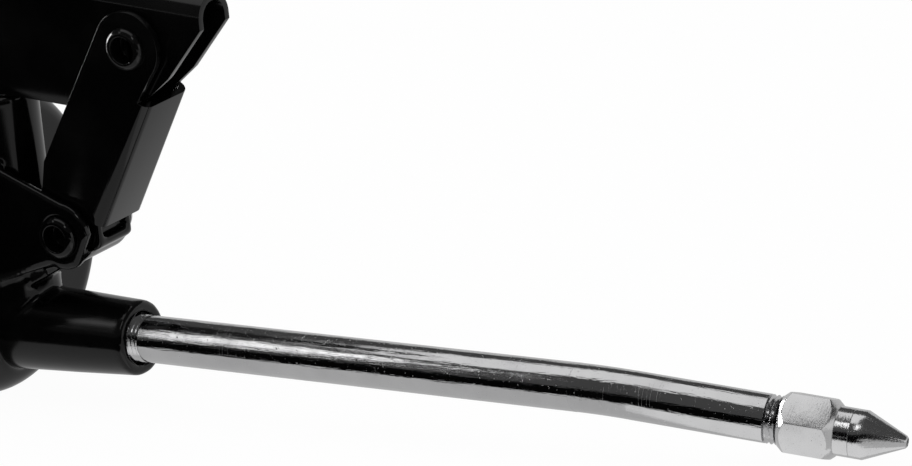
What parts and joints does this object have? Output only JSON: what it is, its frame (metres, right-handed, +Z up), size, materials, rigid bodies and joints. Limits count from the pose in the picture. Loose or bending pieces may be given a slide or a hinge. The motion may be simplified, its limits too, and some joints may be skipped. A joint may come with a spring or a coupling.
{
  "type": "grease gun",
  "caption": "Hand-lever grease gun: cast pump head on a cylindrical barrel, lever on a swinging link above it, bent plated outlet pipe with a hexagon nozzle and a pointed tip.",
  "frame": {"origin": "on the barrel's axis, half way along the length of barrel that shows between the head and the rear cap", "axes": "+X forward along the barrel towards the outlet, +Z up towards the lever, +Y to the left"},
  "size_m": [0.4839, 0.0668, 0.1192],
  "materials": {
    "head_paint": "gloss black enamel on a casting",
    "barrel_paint": "gloss black enamel",
    "sheet_paint": "gloss black enamel on pressed steel",
    "pin_black": "gloss black",
    "bright_plate": "bright plating with fine drawn lines",
    "steel": "satin",
    "rubber_grip": "matt",
    "rubber_seal": "satin",
    "packing": "oiled"
  },
  "bodies": {
    "head": {"head_casting": "head_paint", "barrel_tube": "barrel_paint", "barrel_gasket": "rubber_seal", "rear_cap": "barrel_paint", "rod_lock_plate": "steel", "gland_nut": "steel", "plunger_packing": "packing", "check_spring": "steel", "outlet_pipe": "bright_plate", "nozzle_body": "bright_plate", "nozzle_cone": "bright_plate", "lower_link_pin": "pin_black", "lower_pin_ring": "steel", "follower_spring": "steel"},
    "link": {"link": "sheet_paint", "upper_link_pin": "pin_black", "upper_pin_ring": "steel", "lever_spacers": "steel"},
    "lever": {"lever": "sheet_paint", "lever_grip": "rubber_grip", "plunger_pin": "steel", "plunger_pin_ring": "steel"},
    "plunger": {"plunger": "steel"},
    "check_ball": {"check_ball": "steel"},
    "rod": {"follower_rod": "steel", "rod_handle": "steel", "rod_handle_pin": "steel", "follower_plate": "steel", "follower_cup": "rubber_seal", "follower_nut": "steel"}
  },
  "joints": [
    {"name": "link_swing", "type": "hinge", "parent": "head", "child": "link", "pos_m": [0.1632, 0, 0.00555], "axis": [0, -1, 0], "range_deg": [0, 8.2]},
    {"name": "lever_pump", "type": "hinge", "parent": "link", "child": "lever", "pos_m": [0.18483, 0, 0.04728], "axis": [0, 1, 0], "range_deg": [0, 50]},
    {"name": "plunger_slide", "type": "slide", "parent": "head", "child": "plunger", "axis": [0, 0, 1], "range_m": [0, 0.0325]},
    {"name": "rod_slide", "type": "slide", "parent": "head", "child": "rod", "axis": [-1, 0, 0], "range_m": [0, 0.165], "stiffness_N_per_m": 400, "springref_m": -0.05, "deforming": ["follower_spring"]},
    {"name": "check_ball_lift", "type": "slide", "parent": "head", "child": "check_ball", "axis": [1, 0, 0], "range_m": [0, 0.0015], "stiffness_N_per_m": 200, "springref_m": -0.002, "deforming": ["check_spring"]}
  ],
  "couplings": [
    {"joint": "link_swing", "follows": "lever_pump", "ratio": 0.16},
    {"joint": "plunger_slide", "follows": "lever_pump", "m_per_rad": 0.0368}
  ]
}
